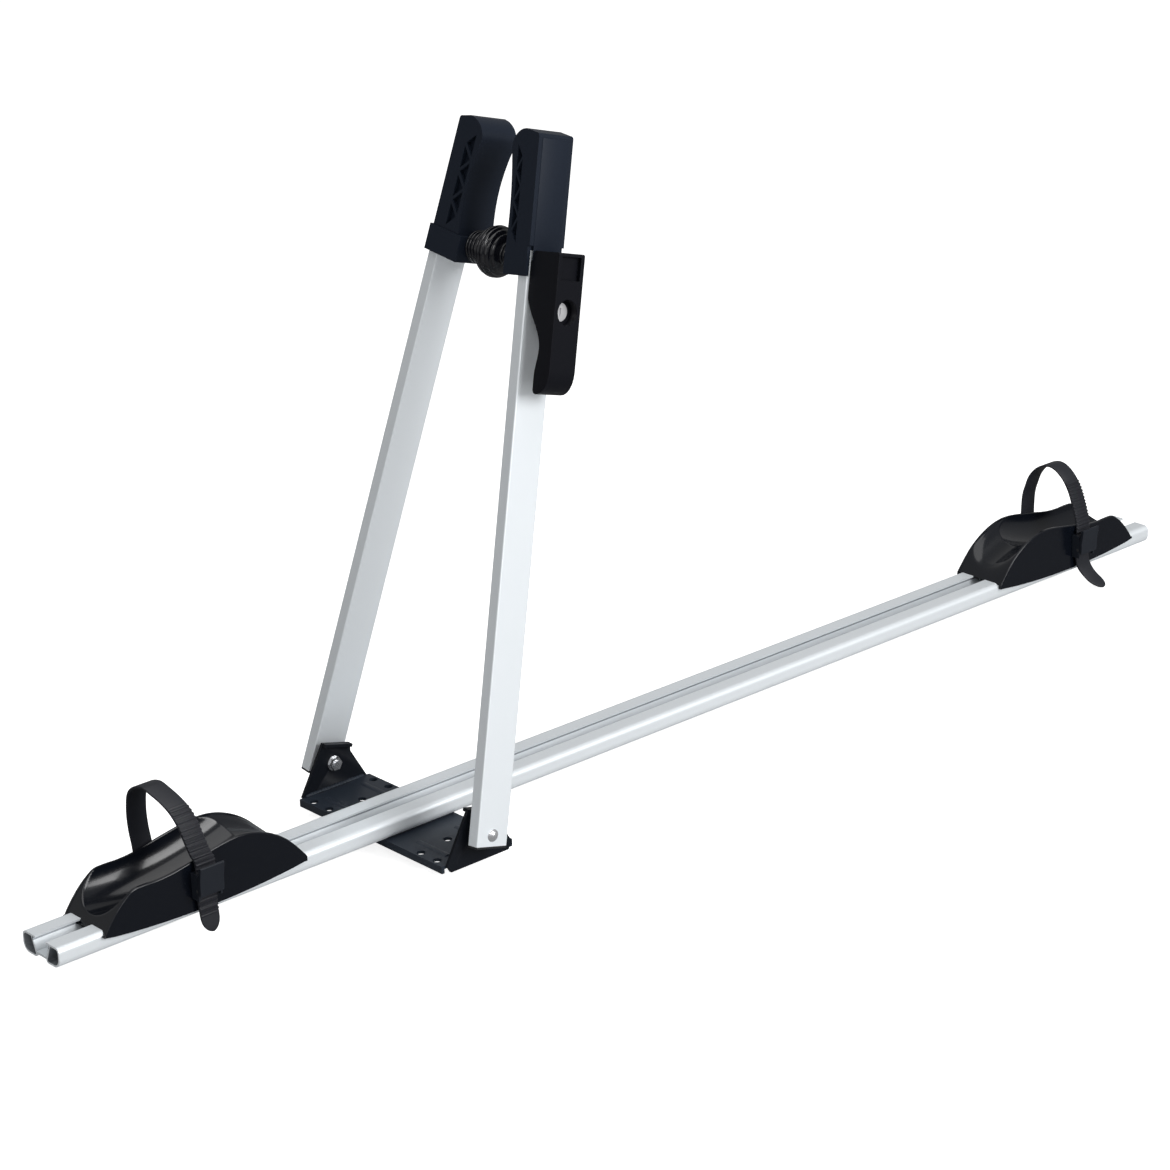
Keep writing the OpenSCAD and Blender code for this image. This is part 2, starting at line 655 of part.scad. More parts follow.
// Cross-section of a tray's sides, narrowed or widened by grow, with its foot at the skirt
module tray_sides(grow = 0) translate([-eps, 0, 0]) rotate([90, 0, 90]) linear_extrude(tray_len + 2)
  polygon([[-tray_w / 2 - grow, -skirt - 1], [tray_w / 2 + grow, -skirt - 1],
    [tray_top_w / 2 + grow, tray_h + 1], [-tray_top_w / 2 - grow, tray_h + 1]]);

// Half the tray's width at a height above the rail
function half_w(z) = tray_w / 2 - side_lean * (z + skirt + 1);

hood_rise = 17.9;
hood_low = 7.1;
hood_r = 34;
tray_bolt_at = 160;
tray_bolt_seat = scoop_floor - 0.8;
nut_top = -lip_t - run_gap;

module tray(front) color("black") on_tray(front) difference() {
  intersection() {
    rotate([90, 0, 0]) linear_extrude(2 * tray_w, center = true) polygon(tray_outline());
    tray_sides();
  }
  scoop_wheel();
  // Dished hood at the pointed end
  translate([0, 0, hood_low]) rotate([0, -hood_rise, 0]) translate([-20, 0, hood_r]) rotate([0, 90, 0])
    cylinder(h = 110, r = hood_r);
  // Room for the rail, and the hollow under the pointed end
  translate([-eps, -rail_w / 2 - strap_gap, -2 * skirt])
    cube([tray_len + 2, rail_w + 2 * strap_gap, 2 * skirt + run_gap]);
  difference() {
    intersection() {
      translate([0, 0, -tray_wall]) rotate([90, 0, 0])
        linear_extrude(tray_w, center = true) polygon(tray_outline());
      tray_sides(-tray_wall);
      translate([0, -tray_w, 0]) cube([95, 2 * tray_w, tray_h]);
    }
    scoop_wheel(tray_wall);
  }
  translate([tray_bolt_at, 0, -eps]) cylinder(h = 2 * scoop_floor, d = tray_bolt_d + 2 * bore_gap);
  translate([tray_bolt_at, 0, tray_bolt_seat]) cylinder(h = 2 * scoop_floor, d = 2.6 * tray_bolt_d);
  rivet_holes(front);
}

module tray_bolt(front) color("gainsboro") on_tray(front) translate([tray_bolt_at, 0, 0]) {
  translate([0, 0, nut_top - 5]) cylinder(h = tray_bolt_seat + 5 - nut_top, d = tray_bolt_d);
  translate([0, 0, tray_bolt_seat]) intersection() {
    cylinder(h = 2.5, d = 2.2 * tray_bolt_d);
    translate([0, 0, -10]) sphere(r = 12.6);
  }
}

module slot_nut(front) color("gray") on_tray(front) translate([tray_bolt_at, 0, nut_top - 5])
  difference() {
    translate([-12, 0, 0]) rotate([90, 0, 90]) linear_extrude(24)
      polygon([[-8, 0], [8, 0], [channel_w / 2 - 1, 5], [1 - channel_w / 2, 5]]);
    translate([0, 0, -eps]) cylinder(h = 5 + 2 * eps, d = tray_bolt_d);
  }

// Where a strap's fixed end and its buckle sit along the tray, and the planes of its layers outward from the tray's side
function anchor_at(front) = strap_at + (front ? 8 : -6);
function buckle_at(front) = strap_at + (front ? -8.5 : 6.5);
side_y = half_w(0);
strap_in = side_y + 3.4;
tab_pin_out = 7.4;
tab_pin_z = buckle_z - 7;
cheek = (buckle_w - strap_w) / 2 - run_gap;
flap_in = 9.6;

// Route of a strap: [along the tray, across the rail, above the rail], from the anchor over the
// wheel and down through the buckle to the free tail
function strap_route(front) = let (
    e = anchor_at(front), a = strap_at, b = buckle_at(front), h = loop_h - (front ? 0 : 4), n = strap_in,
    y0 = half_w(anchor_z) + strap_t / 2 + bore_gap
  ) concat(
    [[e, half_w(4) + strap_t / 2 + bore_gap, 4], [e, y0, anchor_z]],
    front ? [[e + 1, y0 + 0.6, 33], [e + 3, y0 + 0.8, h - 49], [a + 13.5, 29.5, h - 31],
      [a + 15, 24.5, h - 12], [a + 15, 16, h - 2.5], [a + 12.5, 6, h], [a + 10, -3, h - 4],
      [a + 6, -11, h - 10.8], [a + 2.6, -18, h - 19], [a - 0.3, -24, h - 30], [a - 2.5, -28.5, h - 43],
      [a - 5.5, -31.8, h - 56], [a - 8.5, -32.9, 34], [b, -n, 26], [b, -n, 12], [b, -n, -2],
      [b - 0.5, -n - 0.5, -12], [b - 1, -n - 2, -22], [b - 1.5, -n - 4, -32]]
    : [[e, y0 + 0.6, 35], [e + 1, y0 + 0.4, h - 38], [e + 2, 28.5, h - 25], [e + 4, 25, h - 14],
      [e + 6, 17, h - 4.5], [a + 2.5, 7, h], [a + 6, -1, h - 2.5], [a + 10, -9, h - 12],
      [a + 13, -15, h - 25], [a + 13, -21, h - 39], [a + 11, -26.5, h - 49], [a + 8.5, -31, h - 58],
      [b, -n, 26], [b, -n, 12], [b, -n, -2], [b + 2.5, -n - 2, -13], [b + 8, -n - 8, -24],
      [b + 15, -n - 19, -35]]);

// Point on a smooth curve through a list of points, at the parameter t of segment k
function spline(p, k, t) = let (
    last = len(p) - 1, a = p[max(k - 1, 0)], b = p[k], c = p[min(k + 1, last)],
    d = p[min(k + 2, last)]
  ) 0.5 * (2 * b + (c - a) * t + (2 * a - 5 * b + 4 * c - d) * t * t
    + (3 * b - a - 3 * c + d) * t * t * t);

module strap(front) {
  route = strap_route(front);
  fine = 3;
  n = (len(route) - 1) * fine;
  path = [for (k = [0:n]) spline(route, min(floor(k / fine), len(route) - 2),
    k == n ? 1 : (k % fine) / fine)];
  // The tail ends in a round tongue
  function half_at(k) = strap_w / 2 * (k > n - 3 ? [0.9, 0.72, 0.35][k - n + 2] : 1);
  difference() {
    color("black") on_tray(front) skin([for (k = [0:n]) let (
        d = path[min(k + 1, n)] - path[max(k - 1, 0)], w = half_at(k),
        out = unit([0, -d[2], d[1]]) * strap_t / 2)
      [path[k] + [w, 0, 0] + out, path[k] - [w, 0, 0] + out,
       path[k] - [w, 0, 0] - out, path[k] + [w, 0, 0] - out]]);
    on_tray(front) rivet_holes(front);
  }
}

// Rivets: one holds the strap's end on the far side, one holds the buckle on the near side
module rivet_holes(front) {
  translate([anchor_at(front), 0, anchor_z]) along_y(half_w(anchor_z) - 7, 12, rivet_d / 2);
  translate([buckle_at(front), 0, buckle_z]) mirror([0, 1, 0])
    along_y(half_w(buckle_z) - 7, 12, rivet_d / 2);
}

module rivets(front) color("dimgray") on_tray(front) {
  y0 = half_w(anchor_z) + strap_t + 2 * bore_gap;
  translate([anchor_at(front), 0, anchor_z]) {
    along_y(half_w(anchor_z) - 6.5, y0 - half_w(anchor_z) + 6.5 + eps, rivet_d / 2);
    intersection() {
      translate([0, y0 - 4, 0]) sphere(r = 6);
      along_y(y0 + 0.3, 4, rivet_d);
    }
  }
  translate([buckle_at(front), 0, buckle_z]) mirror([0, 1, 0])
    along_y(half_w(buckle_z) - 6.5, side_y + 2 - half_w(buckle_z) + 6.5, rivet_d / 2);
}

// Buckle: a base on the tray's side and a cheek on each side of the strap
module buckle(front) color("black") on_tray(front) difference() {
  low = buckle_z - buckle_h / 2;
  translate([buckle_at(front), 0, low]) mirror([0, 1, 0]) {
    translate([-buckle_w / 2, side_y - 4, 0]) cube([buckle_w, 6, buckle_h - 8]);
    for (s = [0, 1]) mirror([s, 0, 0]) translate([buckle_w / 2 - cheek, side_y, 0])
      cube([cheek, flap_in - run_gap, buckle_h - 8]);
  }
  tray_sides(bore_gap);
  translate([buckle_at(front), -side_y - tab_pin_out, tab_pin_z]) rotate([0, 90, 0])
    cylinder(h = 2 * buckle_w, d = pin_d, center = true);
  rivet_holes(front);
}

// Release flap: a curved plate over the strap, with a lug on the pin between the cheeks
module buckle_tab(front) color("black") on_tray(front) {
  top = buckle_z + buckle_h / 2;
  translate([buckle_at(front), 0, 0]) mirror([0, 1, 0]) difference() {
    union() {
      translate([-buckle_w / 2, side_y, 0]) rotate([90, 0, 90]) linear_extrude(buckle_w) polygon([
        [flap_in, tab_pin_z], [flap_in + 1.8, tab_pin_z - 3.2], [buckle_t - 1.2, tab_pin_z - 4.5],
        [buckle_t - 0.6, tab_pin_z - 1],
        [buckle_t - 0.4, tab_pin_z + 8], [buckle_t + 1.6, top - 1], [buckle_t + 0.8, top],
        [buckle_t - 1.6, top - 1], [flap_in + 0.6, tab_pin_z + 14], [flap_in, tab_pin_z + 8]]);
      translate([0, side_y + tab_pin_out, tab_pin_z]) rotate([0, 90, 0])
        cylinder(h = strap_w, r = 2.5, center = true);
      translate([-strap_w / 2, side_y + tab_pin_out, tab_pin_z - 2.5])
        cube([strap_w, flap_in - tab_pin_out + 0.8, 5]);
    }
    translate([0, side_y + tab_pin_out, tab_pin_z]) rotate([0, 90, 0])
      cylinder(h = 2 * buckle_w, d = pin_d + 2 * bore_gap, center = true);
  }
}

module tab_pin(front) color("dimgray") on_tray(front)
  translate([buckle_at(front), -side_y - tab_pin_out, tab_pin_z]) rotate([0, 90, 0])
    cylinder(h = buckle_w, d = pin_d, center = true);

rail();
base_plate();
ear(1);  // far_ear
ear(-1);  // near_ear
rail_bolts();
rail_washers();
rail_nuts();
arm(1);  // far_arm
arm(-1);  // near_arm
arm_cap(1);  // far_arm_cap
arm_cap(-1);  // near_arm_cap
spacer(1);  // far_spacer
spacer(-1);  // near_spacer
pivot_bolt(1);  // far_pivot_bolt
pivot_bolt(-1);  // near_pivot_bolt
pivot_nut(1);  // far_pivot_nut
pivot_nut(-1);  // near_pivot_nut
jaw(1);  // far_jaw
jaw(-1);  // near_jaw
bellows();
return_spring();
clamp_rod();
rod_nut();
cam_lever();
cross_pin();
lock_cylinder();
lock_tongue();
tray(true);  // front_tray
tray(false);  // rear_tray
tray_bolt(true);  // front_tray_bolt
tray_bolt(false);  // rear_tray_bolt
slot_nut(true);  // front_slot_nut
slot_nut(false);  // rear_slot_nut
strap(true);  // front_strap
strap(false);  // rear_strap
buckle(true);  // front_buckle
buckle(false);  // rear_buckle
buckle_tab(true);  // front_buckle_tab
buckle_tab(false);  // rear_buckle_tab
tab_pin(true);  // front_tab_pin
tab_pin(false);  // rear_tab_pin
rivets(true);  // front_strap_rivet
rivets(false);  // rear_strap_rivet
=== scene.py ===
# Upright roof bike carrier: finishes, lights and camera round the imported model, in metres.
import json
import math

import bmesh
import bpy
import numpy as np
from mathutils import Matrix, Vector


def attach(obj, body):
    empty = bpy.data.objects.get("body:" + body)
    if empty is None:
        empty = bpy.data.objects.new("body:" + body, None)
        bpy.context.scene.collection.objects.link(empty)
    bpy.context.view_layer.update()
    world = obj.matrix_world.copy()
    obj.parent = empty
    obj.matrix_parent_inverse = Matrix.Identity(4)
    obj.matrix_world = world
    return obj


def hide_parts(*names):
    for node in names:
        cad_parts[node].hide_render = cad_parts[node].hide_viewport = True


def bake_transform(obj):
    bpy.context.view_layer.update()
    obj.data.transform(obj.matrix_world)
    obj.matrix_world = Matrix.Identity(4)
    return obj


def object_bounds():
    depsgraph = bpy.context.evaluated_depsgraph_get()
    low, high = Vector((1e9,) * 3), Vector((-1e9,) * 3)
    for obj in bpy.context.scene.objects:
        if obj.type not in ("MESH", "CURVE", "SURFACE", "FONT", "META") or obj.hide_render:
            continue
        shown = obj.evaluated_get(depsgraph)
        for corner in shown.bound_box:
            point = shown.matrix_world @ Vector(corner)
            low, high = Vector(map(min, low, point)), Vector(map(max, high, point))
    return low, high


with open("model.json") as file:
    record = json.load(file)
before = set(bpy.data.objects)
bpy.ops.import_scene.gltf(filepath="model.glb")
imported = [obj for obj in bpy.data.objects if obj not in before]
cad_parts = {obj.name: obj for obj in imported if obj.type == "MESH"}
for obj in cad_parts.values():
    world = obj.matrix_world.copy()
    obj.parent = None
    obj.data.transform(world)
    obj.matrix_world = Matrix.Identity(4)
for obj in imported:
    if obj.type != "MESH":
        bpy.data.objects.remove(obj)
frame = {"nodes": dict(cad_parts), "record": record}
cadBounds = [list(map(float, corner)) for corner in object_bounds()]
mm = 0.001
nodes = frame["nodes"]
bodyOf = {node: body for body, members in frame["record"]["behaviour"]["bodies"].items() for node in members}

# The camera stands to the lever's side of the rail's front end and looks a little down.
cameraView = {
    "turn": math.radians(48.13),   # from +X towards +Y
    "drop": math.radians(20.93),
    "roll": math.radians(-1.47),
    "distance": 3.1393,
    "aim": (0.2491, 0.0281, 0.1505),
    "lens": 103.9,
}


def placeCamera(view):
    # columns of the camera's matrix: its right, its up, and backwards along its line of sight
    turn, drop, roll = view["turn"], view["drop"], view["roll"]
    sight = np.array([math.cos(turn) * math.cos(drop), math.sin(turn) * math.cos(drop), -math.sin(drop)])
    level = np.array([math.sin(turn), -math.cos(turn), 0.0])
    over = np.cross(level, sight)
    right = math.cos(roll) * level + math.sin(roll) * over
    upward = -math.sin(roll) * level + math.cos(roll) * over
    place = np.array(view["aim"]) - view["distance"] * sight
    camera = bpy.data.objects.new("camera", bpy.data.cameras.new("camera"))
    camera.data.lens = view["lens"]
    camera.data.clip_end = 50
    matrix = np.eye(4)
    matrix[:3, 0], matrix[:3, 1], matrix[:3, 2], matrix[:3, 3] = right, upward, -sight, place
    camera.matrix_world = Matrix(matrix)
    bpy.context.scene.collection.objects.link(camera)
    bpy.context.scene.camera = camera


placeCamera(cameraView)
print("camera placed")


class Wire:
    # a socket of a shader tree; arithmetic on wires adds Math nodes
    def __init__(self, tree, socket=None):
        self.tree = tree
        self.socket = socket

    def feed(self, target, value):
        if isinstance(value, Wire):
            self.tree.links.new(value.socket, target)
        else:
            target.default_value = value

    def node(self, kind, settings, sockets, out=0):
        made = self.tree.nodes.new(kind)
        for name, value in settings.items():
            setattr(made, name, value)
        for name, value in sockets.items():
            self.feed(made.inputs[name], value)
        return Wire(self.tree, made.outputs[out] if made.outputs else None)

    def math(self, operation, *values):
        return self.node("ShaderNodeMath", {"operation": operation}, dict(enumerate(values)))

    def __add__(self, other):
        return self.math("ADD", self, other)

    def __sub__(self, other):
        return self.math("SUBTRACT", self, other)

    def __rsub__(self, other):
        return self.math("SUBTRACT", other, self)

    def __mul__(self, other):
        return self.math("MULTIPLY", self, other)

    __radd__ = __add__
    __rmul__ = __mul__


def finish(name, colour, roughness, metallic=0.0, coat=0.0, coatRoughness=0.1, specular=0.5, vary=None):
    # a plain shader; vary takes its start wire and gives sockets that change over the surface
    material = bpy.data.materials.new(name)
    material.use_nodes = True
    tree = material.node_tree
    tree.nodes.clear()
    start = Wire(tree)
    sockets = {
        "Base Color": (*colour, 1),
        "Roughness": roughness,
        "Metallic": metallic,
        "Coat Weight": coat,
        "Coat Roughness": coatRoughness,
        "Specular IOR Level": specular,
    }
    if vary:
        sockets.update(vary(start))
    shader = start.node("ShaderNodeBsdfPrincipled", {}, sockets)
    start.node("ShaderNodeOutputMaterial", {}, {"Surface": shader})
    material.diffuse_color = (*colour, 1)
    return material


def grain(start, size, turn=(0, 0, 0)):
    # noise on object coordinates, stretched by the three sizes after a turn
    place = start.node("ShaderNodeTexCoord", {}, {}, out=3)
    spread = start.node("ShaderNodeMapping", {"vector_type": "TEXTURE"}, {"Vector": place, "Rotation": turn, "Scale": size})
    return start.node("ShaderNodeTexNoise", {}, {"Vector": spread, "Scale": 1.0, "Detail": 2.0, "Roughness": 0.5})


def drawnLines(turn, size, rough):
    # fine lines left along an extrusion, in its roughness and very slightly in its relief
    def vary(start):
        lines = grain(start, size, turn)
        relief = start.node("ShaderNodeBump", {}, {"Strength": 0.05, "Distance": 0.0002, "Height": lines})
        return {"Roughness": rough + 0.12 * (lines - 0.5), "Normal": relief}
    return vary


def mouldGrain(rough, depth, size=0.0009):
    # fine leathery grain of a spark-eroded mould
    def vary(start):
        pores = grain(start, (size, size, size))
        relief = start.node("ShaderNodeBump", {}, {"Strength": depth, "Distance": 0.0003, "Height": pores})
        return {"Roughness": rough + 0.1 * (pores - 0.5), "Normal": relief}
    return vary


def railPaintedShade(start):
    # drawn lines, and painted shade in the base colour: darker inside the lobes and in the channel, with a painted
    # shadow line under the lips of the channel
    sockets = drawnLines((0, 0, 0), (0.4, 0.0012, 0.0012), silver["roughness"])(start)
    place = start.node("ShaderNodeTexCoord", {}, {}, out=3)
    facing = start.node("ShaderNodeTexCoord", {}, {}, out=1)
    sideways, height = (start.node("ShaderNodeSeparateXYZ", {}, {"Vector": place}, out=k) for k in (1, 2))
    faceY, faceZ = (start.node("ShaderNodeSeparateXYZ", {}, {"Vector": facing}, out=k) for k in (1, 2))
    across = start.math("ABSOLUTE", sideways)
    inward = (across - 17 * mm) * faceY * start.math("SIGN", sideways) + (height - 12.5 * mm) * faceZ
    # painted shade inside the hollow lobes, on the faces that look inward
    lobeShade = start.math("LESS_THAN", inward, -1 * mm) * start.math("GREATER_THAN", across, 8.2 * mm)
    wall = start.math("LESS_THAN", across, 12.6 * mm) * start.math("LESS_THAN", height, 20.45 * mm)
    shadow = wall * start.math("GREATER_THAN", across, 8.1 * mm) * start.math("GREATER_THAN", height, 17.2 * mm)
    # the painted shade darkens the silver towards a dark blue grey
    paintedShadeAmount = start.math("MINIMUM", lobeShade * 0.66 + wall * 0.16 + shadow * 0.6, 1.0)
    sockets["Base Color"] = start.node(
        "ShaderNodeMix", {"data_type": "RGBA"}, {0: paintedShadeAmount, 6: (*silver["colour"], 1), 7: (0.07, 0.085, 0.11, 1)}, out=2)
    return sockets


def polishedTops(start):
    # the faces that look up are smoother: the scoop, the hood and the rounded rims
    sockets = mouldGrain(0.22, 0.012, 0.004)(start)
    facing = start.node("ShaderNodeTexCoord", {}, {}, out=1)
    upward = start.node("ShaderNodeSeparateXYZ", {}, {"Vector": facing}, out=2)
    share = start.math("MINIMUM", start.math("MAXIMUM", (upward - 0.12) * 2.2, 0.0), 1.0)
    sockets["Coat Weight"] = share * 0.4
    return sockets


lean = math.radians(15.2)
tilt = math.radians(6.8)
silver = {"colour": (0.78, 0.82, 0.85), "roughness": 0.42, "metallic": 0.35}
alongArm = drawnLines((0, lean, 0), (0.0012, 0.0012, 0.4), silver["roughness"])
materials = {
    # the rail's base colour carries painted shade in its lobes and channel, and a painted shadow under the lips
    "railSilver": finish("railSilver", **silver, vary=railPaintedShade),
    "armSilver": finish("armSilver", **silver, vary=alongArm),
    "bracketBlack": finish("bracketBlack", (0.017, 0.023, 0.033), 0.42, specular=0.22, vary=mouldGrain(0.42, 0.15, 0.0015)),
    "zinc": finish("zinc", (0.72, 0.73, 0.75), 0.25, metallic=0.9),
    "oiledSteel": finish("oiledSteel", (0.35, 0.35, 0.36), 0.4, metallic=0.9),
    "darkSteel": finish("darkSteel", (0.03, 0.03, 0.032), 0.35, specular=0.4),
    "jawBlack": finish("jawBlack", (0.0105, 0.0145, 0.0235), 0.45, specular=0.1, vary=mouldGrain(0.45, 0.2)),
    "leverBlack": finish("leverBlack", (0.003, 0.0034, 0.0058), 0.4, specular=0.12, vary=mouldGrain(0.4, 0.12)),
    "trayBlack": finish("trayBlack", (0.003, 0.0042, 0.0072), 0.2, specular=0.22, coatRoughness=0.1, vary=polishedTops),
    "strapBlack": finish("strapBlack", (0.010, 0.011, 0.0155), 0.45, specular=0.35, vary=mouldGrain(0.5, 0.15)),
    "buckleBlack": finish("buckleBlack", (0.011, 0.0135, 0.019), 0.42, specular=0.2, vary=mouldGrain(0.42, 0.15)),
    "rubber": finish("rubber", (0.0055, 0.006, 0.009), 0.16, specular=0.5),
    "lockSilver": finish("lockSilver", (0.88, 0.88, 0.9), 0.24, metallic=0.6),
    "earBlack": finish("earBlack", (0.006, 0.0075, 0.011), 0.42, specular=0.12, vary=mouldGrain(0.42, 0.15, 0.0015)),
    "capBlack": finish("capBlack", (0.012, 0.012, 0.014), 0.4, specular=0.4),
}

nodeFinish = {
    "rail": "railSilver",
    "far_arm": "armSilver",
    "near_arm": "armSilver",
    "base_plate": "bracketBlack",
    "far_ear": "earBlack",
    "near_ear": "earBlack",
    "far_arm_cap": "capBlack",
    "near_arm_cap": "capBlack",
    "far_spacer": "capBlack",
    "near_spacer": "capBlack",
    "far_jaw": "jawBlack",
    "near_jaw": "jawBlack",
    "bellows": "rubber",
    "cam_lever": "leverBlack",
    "lock_cylinder": "lockSilver",
    "cross_pin": "darkSteel",
    "front_tray": "trayBlack",
    "rear_tray": "trayBlack",
    "front_strap": "strapBlack",
    "rear_strap": "strapBlack",
    "front_buckle": "buckleBlack",
    "rear_buckle": "buckleBlack",
    "front_buckle_tab": "buckleBlack",
    "rear_buckle_tab": "buckleBlack",
    "return_spring": "oiledSteel",
    "lock_tongue": "oiledSteel",
    "front_slot_nut": "oiledSteel",
    "rear_slot_nut": "oiledSteel",
}
for name, piece in nodes.items():
    key = nodeFinish.get(name, "darkSteel" if name.endswith(("_pin", "_rivet")) else "zinc")
    piece.data.materials.clear()
    piece.data.materials.append(materials[key])
print("finishes put on the packed nodes")


def addPiece(name, mesh, body, finishName, replaced=(), smooth=35):
    piece = bpy.data.objects.new(name, mesh)
    bpy.context.scene.collection.objects.link(piece)
    mesh.materials.clear()
    mesh.materials.append(materials[finishName])
    mesh.set_sharp_from_angle(angle=math.radians(smooth))
    if replaced:
        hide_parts(*replaced)
    if body:
        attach(piece, body)
    return piece


def softenEdges(name, node, width, segments=3, finishName=None, angle=30):
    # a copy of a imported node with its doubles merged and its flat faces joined, and rounded edges
    mesh = nodes[node].data.copy()
    shape = bmesh.new()
    shape.from_mesh(mesh)
    bmesh.ops.remove_doubles(shape, verts=shape.verts, dist=2e-6)
    bmesh.ops.dissolve_limit(shape, angle_limit=math.radians(0.5), verts=shape.verts, edges=shape.edges)
    shape.to_mesh(mesh)
    shape.free()
    piece = addPiece(name, mesh, bodyOf[node], finishName or nodeFinish.get(node, "zinc"), (node,), 180)
    bevel = piece.modifiers.new("edges", "BEVEL")
    bevel.width = width
    bevel.segments = segments
    bevel.limit_method = "ANGLE"
    bevel.angle_limit = math.radians(angle)
    bevel.harden_normals = False
    bevel.use_clamp_overlap = True
    bevel.miter_outer = "MITER_ARC"
    weigh = piece.modifiers.new("normals", "WEIGHTED_NORMAL")
    weigh.keep_sharp = True
    weigh.weight = 100
    return piece


def gridMesh(name, rows, closeAcross=True, capEnds=True):
    # a mesh on an array of points [along, across, xyz], wound so that its faces point outwards
    count, around = rows.shape[:2]
    index = np.arange(count * around).reshape(count, around)
    onward = np.roll(index, -1, axis=1) if closeAcross else index[:, 1:]
    start = index if closeAcross else index[:, :-1]
    quads = np.stack([start[:-1], onward[:-1], onward[1:], start[1:]], axis=-1).reshape(-1, 4).tolist()
    if capEnds:
        quads += [index[0][::-1].tolist(), index[-1].tolist()]
    mesh = bpy.data.meshes.new(name)
    mesh.from_pydata(rows.reshape(-1, 3).tolist(), [], quads)
    shape = bmesh.new()
    shape.from_mesh(mesh)
    bmesh.ops.remove_doubles(shape, verts=shape.verts, dist=1e-6)
    bmesh.ops.recalc_face_normals(shape, faces=shape.faces)
    shape.to_mesh(mesh)
    shape.free()
    return mesh


def smoothPath(points, steps):
    # Catmull-Rom curve through the points, with the same number of steps in each span
    points = np.array(points, float)
    ends = np.vstack([2 * points[0] - points[1], points, 2 * points[-1] - points[-2]])
    t = np.linspace(0, 1, steps, endpoint=False)[None, :, None]
    a, b, c, d = (ends[k:len(ends) - 3 + k][:, None, :] for k in range(4))
    curve = 0.5 * (2 * b + (c - a) * t + (2 * a - 5 * b + 4 * c - d) * t**2 + (3 * b - a - 3 * c + d) * t**3)
    return np.vstack([curve.reshape(-1, points.shape[1]), points[-1]])


# Wheel trays, in tray coordinates: x from the pointed end, y across, z up from the rail's top
tray = {
    "length": 212,
    "ridge": [(0, 0), (5, 6), (12, 14), (20, 21.8), (30, 29), (41, 34.8), (53, 39.1), (66, 41.3), (80, 41), (98, 38.3),
              (115, 35.2), (130, 32), (143, 30), (156, 29.3), (168, 29.7), (179, 28.9), (187.5, 23.6), (195.5, 16.6),
              (202.5, 8.5), (208, 1), (211.5, -5)],
    "skirt": 11.5,
    "footWide": 60.5,
    "topWide": 59,
    "top": 41.5,
    "wheel": 340,
    "scoop": 27,
    "floor": 3,
    "lowest": 165,
    "railGap": 26.9,
    "round": 2.1,
    "rimSoft": 1.6,
    "hoodRise": math.radians(17.9),
    "hoodLow": 7.1,
    "hoodRound": 34,
}
trayPlace = {"front": (-132, -1), "rear": (771, 1)}   # the pointed end's place along the rail, and its sense
railTop = 22


def trayHalf(height):
    # half the tray's width at a height: its sides lean inward
    spanned = tray["top"] + tray["skirt"]
    return tray["footWide"] / 2 - (tray["footWide"] - tray["topWide"]) / 2 * (height + tray["skirt"] + 1) / spanned


def traySkirt(x):
    # lower edge of the sides: from the rail's top at the point down to the skirt, and up again
    length, depth = tray["length"], tray["skirt"]
    t = np.clip((length - 10 - x) / (length - 14), 0, 1)
    edge = -depth * np.sin(np.radians(20 + 145 * t))**0.6
    return np.where(x > length - 10, edge * (1 - 0.3 * (x - length + 10) / 10), edge)


def softMin(a, b, soft):
    # the smaller of two heights, blended over a band of the given size
    mix = np.clip(0.5 + 0.5 * (b - a) / soft, 0, 1)
    return b + (a - b) * mix - soft * mix * (1 - mix) * 0.5


def hoodTop(x, across):
    # the dished hood at the pointed end: a round trough that rises along the tray
    rise, turn = tray["hoodRise"], tray["hoodRound"]
    sag = turn - np.sqrt(np.clip(turn**2 - across**2, 0, None))
    return tray["hoodLow"] + x * math.tan(rise) + sag / math.cos(rise)


